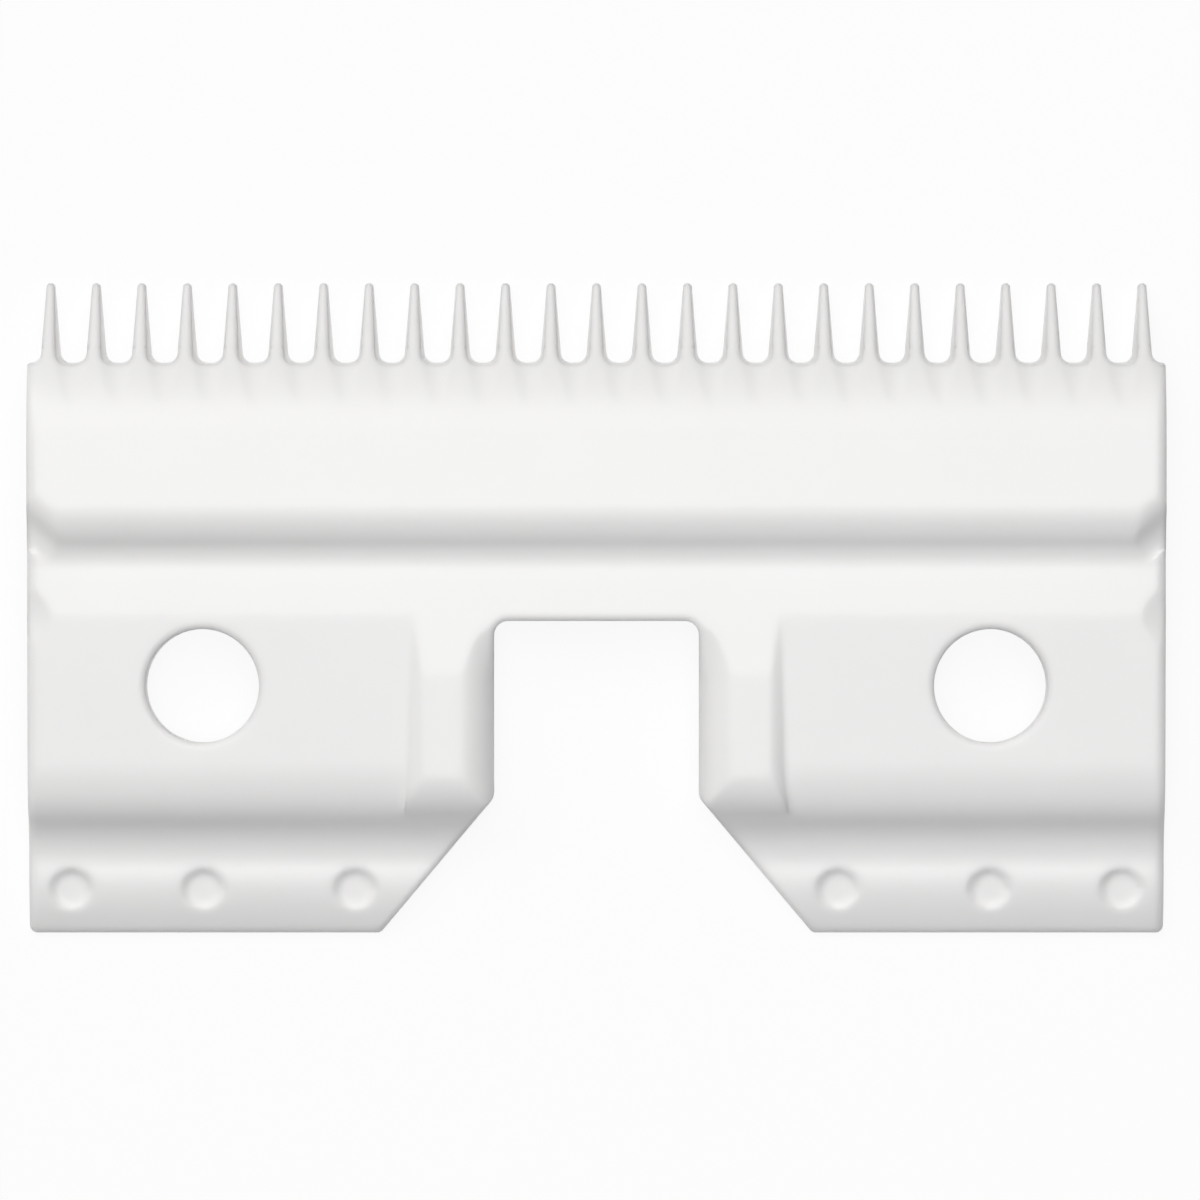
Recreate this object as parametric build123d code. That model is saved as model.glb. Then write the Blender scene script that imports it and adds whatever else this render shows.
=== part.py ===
from build123d import *
import os
from math import acos, atan2, cos, degrees, radians, sin, sqrt, tan

# The moving cutter of a detachable clipper blade set, one moulded and sintered ceramic piece.
# Millimetres and degrees. X runs along the teeth, Y from the rear edge to the tooth tips and Z
# up from the lapped face that slides on the comb below. The origin is the middle of the underside.
blade_width = 44.0
blade_length = 25.2

# Heights of the top surface above the lapped face
tip_height = 0.5
rail_height = 4.4
plateau_height = 3.5
flange_height = 1.2
rear_edge_height = 0.4

# Front of the side profile, measured from the tooth tips: ramped nose, level rail, soft step down
# to a level plateau
nose_angle = 42.0
nose_radius = 4.5
rail_setback = 8.72
rail_step_crest_radius = 1.99
rail_step_foot_radius = 1.35
crease_setback = 12.95

# Rear of the side profile, measured from the rear edge: sloping pockets, long step down to the
# flange, crowned edge
crease_radius = 3.0
pocket_slope = 4.0
pocket_step_reach = 6.5
pocket_shoulder_radius = 4.6
pocket_shoulder_slope = 19.0
pocket_step_crest_radius = 2.05
pocket_step_foot_radius = 2.2
flange_length = 0.05

# Underside: two lapped lands with a relief channel between them
front_land = 8.2
rear_land = 6.0
relief_depth = 0.5

# Teeth, and the flutes that run back up the nose from the gullets between them
tooth_count = 25
end_tooth_inset = 0.81
tooth_length = 3.07
tooth_tip_width = 0.32
tooth_tip_chamfer = 0.08
root_width = 0.93
root_corner_radius = 0.4
gullet_draft = 2.5
flute_run = 1.8
flute_lead = 0.6  # how far ahead of the root a flute starts
flute_depth = 0.2
flute_radius = 1.25

# Drive slot, open at the rear edge through a flared mouth
slot_width = 7.94
slot_depth = 12.1
slot_corner_radius = 0.55
mouth_width = 16.76
mouth_angle = 40.0
mouth_corner_radius = 0.6

# Pads beside the drive slot, just proud of the pockets, each with a rounded lip towards the slot
pad_width = 2.74
pad_slope = 2.5
pad_rise = 0.26  # at the rear end, above the pocket
pad_shoulder_radius = 0.7
pad_wall_angle = 80.0
pad_end_reach = 6.11
pad_end_radius = 1.9
lip_width = 1.34
lip_angle = 64.0
lip_start_angle = 1.0
lip_run_out = 2.4

# Guide holes, and the shallow spots in the rear flange, with floors that lean to the rear
guide_hole_radius = 2.2
guide_hole_spacing = 30.48
guide_hole_reach = 9.59
spot_depth = 0.3
spot_tilt = 8.0
spot_floor_radius = 0.62
spot_wall_angle = 50.0
spot_reach = 1.68
outer_spot_inset = 1.64
inner_spot_inset = 0.98

# Shallow scallops in the side edges, in line with the slot's end
scallop_radius = 4.4
scallop_width = 0.95
scallop_slope = 14.0

# Mitred ends of the step behind the rail
mitre_width = 1.0
mitre_length = 0.85
mitre_crest_radius = 1.0

# Rounding of the outer edges, and the broken rims of the slot and the holes
edge_radius = 0.3
rim_chamfer = 0.08

clear = 2.0  # how far a cutting shape stands past the blade
hair = 0.001  # how far off a measured place may be

# Places worked out from the sizes above
tip_y = blade_length / 2
rear_y = -blade_length / 2
side_x = blade_width / 2
slot_x = slot_width / 2
mouth_x = mouth_width / 2
slot_end_y = rear_y + slot_depth
rail_end_y = tip_y - rail_setback
crease_y = tip_y - crease_setback
root_y = tip_y - tooth_length
tooth_pitch = (blade_width - 2 * end_tooth_inset) / (tooth_count - 1)
nose_rise = rail_height - tip_height - nose_radius * (1 - cos(radians(nose_angle)))
ramp_top_y = tip_y - nose_rise / tan(radians(nose_angle))
nose_top_y = ramp_top_y - nose_radius * sin(radians(nose_angle))


def nose_height(y):
    if y > ramp_top_y:
        return tip_height + (tip_y - y) * tan(radians(nose_angle))
    return rail_height - nose_radius + sqrt(nose_radius**2 - (y - nose_top_y) ** 2)


def pocket_height(y):
    return plateau_height - (crease_y - y) * tan(radians(pocket_slope))


def step_down(start, drop, crest_radius, foot_radius, slope=0.0):
    # Two tangent arcs, entered at a slope and left level. Gives the point at the foot.
    level = crest_radius * cos(radians(slope)) + foot_radius - drop
    tilt = degrees(acos(level / (crest_radius + foot_radius)))
    heading = (-cos(radians(slope)), -sin(radians(slope)))
    crest = JernArc(start, heading, crest_radius, tilt - slope)
    foot = JernArc(crest @ 1, crest % 1, foot_radius, -tilt)
    return foot @ 1


def pad_height(y):
    end_y = rear_y + pad_end_reach
    return pocket_height(end_y) + pad_rise + (y - end_y) * tan(radians(pad_slope))


def is_outer_rim(edge):
    box = edge.bounding_box()
    on_side = abs(box.center().X) > side_x - hair
    on_rear = box.max.Y < rear_y + hair
    return (on_side or on_rear) and box.max.Z > hair and box.min.Y < tip_y - hair


def blank():
    # The side profile, carried across the whole width and rounded along both sides and the rear
    with BuildSketch(Plane.YZ) as side:
        with BuildLine():
            front = Line((tip_y, 0), (tip_y, tip_height))
            ramp = Line(front @ 1, (ramp_top_y, tip_height + nose_rise))
            nose = JernArc(ramp @ 1, ramp % 1, nose_radius, nose_angle)
            rail = Line(nose @ 1, (rail_end_y, rail_height))
            rail_drop = rail_height - plateau_height
            rail_foot = step_down(rail @ 1, rail_drop, rail_step_crest_radius, rail_step_foot_radius)
            tangent = crease_radius * tan(radians(pocket_slope / 2))
            plateau = Line(rail_foot, (crease_y + tangent, plateau_height))
            crease = JernArc(plateau @ 1, plateau % 1, crease_radius, pocket_slope)
            step_y = rear_y + pocket_step_reach
            pocket = Line(crease @ 1, (step_y, pocket_height(step_y)))
            turn = pocket_shoulder_slope - pocket_slope
            shoulder = JernArc(pocket @ 1, pocket % 1, pocket_shoulder_radius, turn)
            pocket_foot = step_down(
                shoulder @ 1, (shoulder @ 1).Y - flange_height,
                pocket_step_crest_radius, pocket_step_foot_radius, pocket_shoulder_slope,
            )
            flange = Line(pocket_foot, pocket_foot - Vector(flange_length, 0))
            crown = TangentArc(flange @ 1, (rear_y, rear_edge_height), tangent=flange % 1)
            Polyline(crown @ 1, (rear_y, 0), front @ 0)
        make_face()
    bar = extrude(side.sketch, amount=side_x, both=True)
    return fillet(bar.edges().filter_by(is_outer_rim), edge_radius)


def pad_plane(y):
    # Square to the sloping top of the pads, with its origin on that top
    slope = radians(pad_slope)
    return Plane(origin=(0, y, pad_height(y)), x_dir=(1, 0, 0), z_dir=(0, -cos(slope), -sin(slope)))


def pads():
    # A tongue with soft shoulders, level with the plateau in front and sloping to a round nose at the
    # rear; the slot splits it into two pads
    top_x = slot_x + pad_width
    wall_run = plateau_height / tan(radians(pad_wall_angle))
    with BuildSketch(pad_plane(rail_end_y)) as across:
        with BuildLine():
            top = Line((0, 0), (top_x, 0))
            shoulder = JernArc(top @ 1, top % 1, pad_shoulder_radius, -pad_wall_angle)
            wall = Line(shoulder @ 1, shoulder @ 1 + Vector(wall_run, -plateau_height))
            Polyline(wall @ 1, ((top @ 0).X, (wall @ 1).Y), top @ 0)
        make_face()
        mirror(about=Plane.YZ)
    with BuildSketch(Plane.YZ) as along:
        with BuildLine():
            end_y = rear_y + pad_end_reach
            top = Line((rail_end_y, pad_height(rail_end_y)), (end_y, pad_height(end_y)))
            nose = JernArc(top @ 1, top % 1, pad_end_radius, 90 - pad_slope)
            Polyline(nose @ 1, ((nose @ 1).X, 0), (rail_end_y, 0), top @ 0)
        make_face()
    tongue = extrude(across.sketch, amount=blade_length) & extrude(along.sketch, amount=side_x, both=True)
    return split(tongue, Plane.XY.offset(plateau_height), keep=Keep.BOTTOM)


def drive_slot():
    flare_y = rear_y + (mouth_x - slot_x) / tan(radians(mouth_angle))
    with BuildSketch() as plan:
        with BuildLine():
            half = Polyline(
                (0, slot_end_y), (slot_x, slot_end_y), (slot_x, flare_y),
                (mouth_x, rear_y), (mouth_x, rear_y - clear), (0, rear_y - clear),
            )
            mirror(half, about=Plane.YZ)
        make_face()
        fillet(plan.vertices().filter_by_position(Axis.Y, slot_end_y, slot_end_y), slot_corner_radius)
        fillet(plan.vertices().filter_by_position(Axis.Y, flare_y, flare_y), mouth_corner_radius)
    return extrude(plan.sketch, amount=rail_height)


def lip_section(y, angle):
    # What the lip takes off the pad's corner beside the slot, down to a given slope at the slot
    with BuildSketch(pad_plane(y)) as section:
        with BuildLine():
            crest = Vector(slot_x + lip_width, 0)
            lip = JernArc(crest, (-1, 0), lip_width / sin(radians(angle)), angle)
            Polyline(lip @ 1, (0, (lip @ 1).Y), (0, clear), (crest.X, clear), crest)
        make_face()
    return section.sketch


def pad_lip():
    # Deepens from the slot's end to the full slope, then runs along the pad to the rear
    full = lip_section(slot_end_y - lip_run_out, lip_angle)
    return loft([lip_section(slot_end_y, lip_start_angle), full]) + extrude(full, amount=slot_depth)


def guide_hole():
    plan = Pos(guide_hole_spacing / 2, rear_y + guide_hole_reach) * Circle(guide_hole_radius)
    return extrude(plan, amount=rail_height)


def flange_spots():
    floor_z = flange_height - spot_depth
    top_radius = spot_floor_radius + spot_depth * tan(radians(spot_wall_angle))
    spot = Cone(spot_floor_radius, top_radius, spot_depth, align=(Align.CENTER, Align.CENTER, Align.MIN))
    places = [side_x - outer_spot_inset, guide_hole_spacing / 2, mouth_x + inner_spot_inset]
    return [Pos(x, rear_y + spot_reach, floor_z) * Rot(X=spot_tilt) * spot for x in places]


def edge_scallop():
    # A round groove that deepens towards the side edge
    slope = radians(scallop_slope)
    start = (side_x - scallop_width, slot_end_y, plateau_height)
    with BuildSketch(Plane(origin=start, x_dir=(0, 1, 0), z_dir=(cos(slope), 0, -sin(slope)))) as section:
        with Locations((0, scallop_radius)):
            Circle(scallop_radius)
    return extrude(section.sketch, amount=scallop_width + clear, both=True)


def step_mitre():
    # The step behind the rail, turned across the rail's end corner
    slant = Vector(mitre_width, mitre_length)
    across = Plane(origin=(side_x - mitre_width, rail_end_y, 0), x_dir=(-slant.Y, slant.X, 0), z_dir=slant)
    with BuildSketch(across) as section:
        with BuildLine():
            crest = (0, rail_height)
            rail_drop = rail_height - plateau_height
            foot = step_down(crest, rail_drop, mitre_crest_radius, rail_step_foot_radius)
            Polyline(foot, (foot.X, rail_height + clear), (0, rail_height + clear), crest)
        make_face()
    return extrude(section.sketch, amount=rail_setback / 2, both=True)


def relief_channel():
    middle_y = (rear_land - front_land) / 2
    channel = Box(blade_width, blade_length - front_land - rear_land, 2 * relief_depth)
    return Pos(0, middle_y, 0) * channel


def is_root_corner(edge):
    box = edge.bounding_box()
    return box.size.Z > rail_height - hair and box.max.Y < tip_y


def gullet():
    # The gap between two teeth, narrowest at the lapped face, with round corners at its root
    half_gap = (tooth_pitch - tooth_tip_width) / 2
    half_root = root_width / 2
    half_mouth = half_gap + clear * (half_gap - half_root) / tooth_length
    with BuildSketch() as plan:
        with BuildLine():
            side = Line((half_root, root_y), (half_mouth, tip_y + clear))
            other = mirror(side, about=Plane.YZ)
            Line(side @ 0, other @ 0)
            Line(side @ 1, other @ 1)
        make_face()
    straight = extrude(plan.sketch, amount=rail_height)
    walls = straight.faces().filter_by(Axis.Z, reverse=True).sort_by(Axis.Y)[:-1]
    gap = draft(walls, Plane.XY, -gullet_draft)
    return fillet(gap.edges().filter_by(is_root_corner), root_corner_radius)


def flute():
    # A round groove that follows the nose's curve and runs out from its full depth at the gullet's root
    low = Vector(0, root_y, nose_height(root_y) - flute_depth)
    high = Vector(0, root_y - flute_run, nose_height(root_y - flute_run))
    chord = high - low
    inward = Vector(0, -chord.Z, chord.Y).normalized()
    axis = (low + high) / 2 + inward * sqrt(nose_radius**2 - (chord.length / 2) ** 2)
    with BuildSketch(Plane(origin=axis, x_dir=(1, 0, 0), z_dir=(0, -1, 0))) as section:
        with Locations((0, nose_radius + flute_radius)):
            Circle(flute_radius)
    start_angle = degrees(atan2(low.Y - axis.Y, low.Z - axis.Z) + flute_lead / nose_radius)
    return revolve(section.sketch, Axis(axis, (-1, 0, 0)), start_angle)


def both_sides(tool):
    return [tool, mirror(tool, about=Plane.YZ)]


def is_above_underside(edge):
    return edge.bounding_box().min.Z > hair


def is_tip_corner(edge):
    box = edge.bounding_box()
    return box.min.Y > tip_y - hair and box.min.Z < hair < box.max.Z


def cut_through(body, tools):
    # A cut right through the blade, with its rim broken on the top side
    done = body - tools
    rim = new_edges(body, *tools, combined=done).filter_by(is_above_underside)
    return chamfer(rim, rim_chamfer)


# The slot is cut in the plate and in the pads apart, so that each has its own broken rim
cutter = cut_through(blank(), [drive_slot()]) + cut_through(pads(), [drive_slot()])
cutter -= both_sides(pad_lip())
cutter = cut_through(cutter, both_sides(guide_hole()))

cutter -= both_sides(step_mitre())
cutter -= both_sides(edge_scallop())
for spot in flange_spots():
    cutter -= both_sides(spot)
cutter -= relief_channel()

# One gap more than there are teeth: the two end gaps leave the shoulders beside the row
tooth_gap = gullet() + flute()
gap_places = [(n - tooth_count / 2) * tooth_pitch for n in range(tooth_count + 1)]
cutter -= [Pos(x, 0, 0) * tooth_gap for x in gap_places]
cutter = chamfer(cutter.edges().filter_by(is_tip_corner), tooth_tip_chamfer)

os.makedirs("parts", exist_ok=True)
export_step(cutter, "parts/cutter_blade.step")
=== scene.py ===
import bmesh
import bpy
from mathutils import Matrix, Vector

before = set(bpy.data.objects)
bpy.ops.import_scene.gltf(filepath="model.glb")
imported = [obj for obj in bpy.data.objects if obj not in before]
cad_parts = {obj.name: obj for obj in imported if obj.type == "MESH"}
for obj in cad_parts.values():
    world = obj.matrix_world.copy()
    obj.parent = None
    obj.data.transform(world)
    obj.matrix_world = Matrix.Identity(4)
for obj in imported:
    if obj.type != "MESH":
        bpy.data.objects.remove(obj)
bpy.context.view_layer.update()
mm = 0.001  # Blender works in metres, the notes below in millimetres
print("frame loaded, nodes:", sorted(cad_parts))


def hexToLinear(text):  # sRGB hex to the linear colour that shaders take
    parts = [int(text[i:i + 2], 16) / 255 for i in (0, 2, 4)]
    linear = [p / 12.92 if p <= 0.04045 else ((p + 0.055) / 1.055) ** 2.4 for p in parts]
    return (*linear, 1.0)


def addNode(tree, kind, settings=None, values=None, links=None):
    node = tree.nodes.new(kind)
    for key, value in (settings or {}).items():
        setattr(node, key, value)
    for socket, value in (values or {}).items():
        node.inputs[socket].default_value = value
    for socket, source in (links or {}).items():
        tree.links.new(source, node.inputs[socket])
    return node


def newMaterial(name):
    material = bpy.data.materials.new(name)
    material.use_nodes = True
    material.node_tree.nodes.clear()
    return material, material.node_tree


# Zirconia, pressed and sintered: dense white ceramic, satin on the fired skin and near-mirror
# where the underside was lapped flat
zirconia = {
    "firedColour": "f4f3f2",
    "shadeColour": "f1f0ef",
    "mottle": 3.5,  # mm, slow drift of the fired colour
    "mottleDetail": 3.0,
    "granule": 0.16,  # mm, press granules, drawn coarser than they are so that they show
    "granuleDetail": 2.0,
    "granuleBump": 0.002,  # mm
    "granuleStrength": 0.3,
    "firedRoughness": 0.38,
    "lappedRoughness": 0.12,
    "lappedBelow": 0.01,  # mm, the lands lie at height 0
    "refraction": 1.55,  # dense zirconia has about 2.2, but the photo shows little shine
    "softEdge": 0.5,  # mm over which the tumbled edges turn
    "softEdgeSamples": 8,
}


def makeZirconia():
    material, tree = newMaterial("zirconiaSintered")
    place = addNode(tree, "ShaderNodeTexCoord").outputs["Object"]
    mottle = addNode(tree, "ShaderNodeTexNoise", values={
        "Scale": 1 / (zirconia["mottle"] * mm), "Detail": zirconia["mottleDetail"]}, links={
        "Vector": place})
    colour = addNode(tree, "ShaderNodeMix", {"data_type": "RGBA"}, links={"Factor": mottle.outputs["Fac"]})
    colour.inputs["A"].default_value = hexToLinear(zirconia["shadeColour"])
    colour.inputs["B"].default_value = hexToLinear(zirconia["firedColour"])
    height = addNode(tree, "ShaderNodeSeparateXYZ", links={0: place}).outputs["Z"]
    lapped = addNode(tree, "ShaderNodeMath", {"operation": "LESS_THAN"}, {1: zirconia["lappedBelow"] * mm},
                     {0: height}).outputs[0]
    finish = addNode(tree, "ShaderNodeMapRange", values={
        3: zirconia["firedRoughness"], 4: zirconia["lappedRoughness"]}, links={0: lapped})
    worn = addNode(tree, "ShaderNodeBevel", {"samples": zirconia["softEdgeSamples"]}, {
        "Radius": zirconia["softEdge"] * mm})
    granule = addNode(tree, "ShaderNodeTexNoise", values={
        "Scale": 1 / (zirconia["granule"] * mm), "Detail": zirconia["granuleDetail"]}, links={
        "Vector": place})
    skin = addNode(tree, "ShaderNodeBump", values={
        "Strength": zirconia["granuleStrength"], "Distance": zirconia["granuleBump"] * mm}, links={
        "Height": granule.outputs["Fac"], "Normal": worn.outputs["Normal"]})
    shader = addNode(tree, "ShaderNodeBsdfPrincipled", values={
        "IOR": zirconia["refraction"]}, links={
        "Base Color": colour.outputs["Result"], "Roughness": finish.outputs["Result"],
        "Normal": skin.outputs["Normal"]})
    addNode(tree, "ShaderNodeOutputMaterial", links={"Surface": shader.outputs["BSDF"]})
    return material


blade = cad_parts["cutter_blade"]
blade.data.materials.clear()
blade.data.materials.append(makeZirconia())
print("blade dressed")

# The photo's frame: straight down on the blade, teeth up
photo = {
    "width": 46.62,  # mm across the picture at the blade
    "centre": (0.136, 0.311),  # mm from the blade's middle
    "distance": 600.0,  # mm, far off and with a long lens, so that no walls show
    "sensor": 36.0,
    "nearest": 10.0,  # mm, where the lens begins to see
    "farthest": 10000.0,  # mm
}


def makeCamera():
    data = bpy.data.cameras.new("camera")
    data.sensor_width = photo["sensor"]
    data.lens = photo["sensor"] * photo["distance"] / photo["width"]
    data.clip_start = photo["nearest"] * mm
    data.clip_end = photo["farthest"] * mm
    camera = bpy.data.objects.new("camera", data)
    camera.location = Vector((*photo["centre"], photo["distance"])) * mm
    bpy.context.scene.collection.objects.link(camera)
    bpy.context.scene.camera = camera


studio = {
    "floorSize": 3000.0,  # mm
    "floorDrop": 0.002,  # mm under the lapped lands, so that the two don't flicker
    "floorColour": "f4f4f4",
    "floorGlow": 0.9,  # share that the lens sees as plain white; the rest keeps the shadow
    "skyColour": "ffffff",  # seen by the lens and in a gloss, but lights nothing matte
    "boxes": [  # name, place and side in mm, watts, colour; each is turned to the blade
        ("overheadBox", (0.0, 0.0, 500.0), 300.0, 0.53, "ffffff"),
        ("overheadLamp", (0.0, 0.0, 500.0), 150.0, 0.36, "ffffff"),
        ("frontBox", (0.0, 129.0, 483.0), 200.0, 0.22, "ffffff"),
        ("keyBox", (0.0, 250.0, 433.0), 300.0, 0.66, "ffffff"),
        ("cornerBox", (-250.0, 250.0, 354.0), 300.0, 0.69, "ffffff"),
        ("sideBox", (-433.0, 0.0, 250.0), 300.0, 0.15, "ffffff"),
        ("fillCard", (25.0, -80.0, 50.0), 50.0, 0.0048, "f2f6ff"),
    ],
}


def seenDirectly(tree):  # 1 for rays that show the background itself, in the lens or in a gloss
    path = addNode(tree, "ShaderNodeLightPath").outputs
    gloss = addNode(tree, "ShaderNodeMath", {"operation": "MAXIMUM"}, links={
        0: path["Is Camera Ray"], 1: path["Is Glossy Ray"]})
    seen = addNode(tree, "ShaderNodeMath", {"operation": "MAXIMUM"}, links={
        0: gloss.outputs[0], 1: path["Is Transmission Ray"]})
    return seen.outputs[0]


def makeFloor():
    bm = bmesh.new()
    bmesh.ops.create_grid(bm, x_segments=1, y_segments=1, size=studio["floorSize"] * mm / 2)
    mesh = bpy.data.meshes.new("floor")
    bm.to_mesh(mesh)
    bm.free()
    floor = bpy.data.objects.new("floor", mesh)
    floor.location.z = -studio["floorDrop"] * mm
    bpy.context.scene.collection.objects.link(floor)
    material, tree = newMaterial("paperFloor")
    matte = addNode(tree, "ShaderNodeBsdfDiffuse", values={"Color": hexToLinear(studio["floorColour"])})
    glow = addNode(tree, "ShaderNodeEmission", values={"Strength": 1.0})
    share = addNode(tree, "ShaderNodeMath", {"operation": "MULTIPLY"}, values={1: studio["floorGlow"]},
                    links={0: seenDirectly(tree)})
    both = addNode(tree, "ShaderNodeMixShader", links={
        0: share.outputs[0], 1: matte.outputs[0], 2: glow.outputs[0]})
    addNode(tree, "ShaderNodeOutputMaterial", links={"Surface": both.outputs[0]})
    mesh.materials.append(material)


def makeSky():
    world = bpy.data.worlds.new("studio")
    bpy.context.scene.world = world
    world.use_nodes = True
    tree = world.node_tree
    tree.nodes.clear()
    sky = addNode(tree, "ShaderNodeBackground", values={"Color": hexToLinear(studio["skyColour"])},
                  links={"Strength": seenDirectly(tree)})
    addNode(tree, "ShaderNodeOutputWorld", links={"Surface": sky.outputs[0]})


def makeBox(name, place, side, watts, colour):
    data = bpy.data.lights.new(name, "AREA")
    data.shape = "SQUARE"
    data.size = side * mm
    data.energy = watts
    data.color = hexToLinear(colour)[:3]
    lamp = bpy.data.objects.new(name, data)
    lamp.location = Vector(place) * mm
    lamp.rotation_mode = "QUATERNION"
    lamp.rotation_quaternion = lamp.location.to_track_quat("Z", "Y")
    bpy.context.scene.collection.objects.link(lamp)


makeCamera()
makeFloor()
makeSky()
for box in studio["boxes"]:
    makeBox(*box)
bpy.context.scene.view_settings.view_transform = "Standard"
print("camera, floor and light set")
